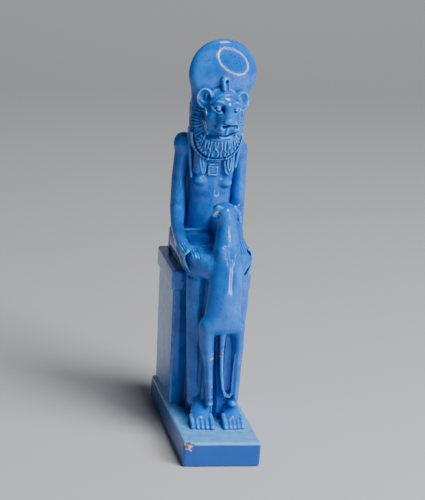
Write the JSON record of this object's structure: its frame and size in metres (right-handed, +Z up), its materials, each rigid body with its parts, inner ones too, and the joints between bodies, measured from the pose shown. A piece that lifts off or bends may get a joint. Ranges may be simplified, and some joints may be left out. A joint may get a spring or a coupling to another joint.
{
  "type": "egyptian figurine",
  "caption": "Small glazed figurine of a lion-headed goddess with a sun disc, seated on a throne, a lion standing against her knees, on a long plinth.",
  "frame": {"origin": "centre of the plinth's flat underside", "axes": "+Z up through the sun disc; the goddess and the plinth's bare front end face -Y; +X is the goddess's left"},
  "size_m": [0.0256, 0.06, 0.1259],
  "materials": {
    "faience": "glossy blue glaze, darker in the hollows"
  },
  "bodies": {
    "root": {"figurine": "faience"}
  },
  "joints": []
}
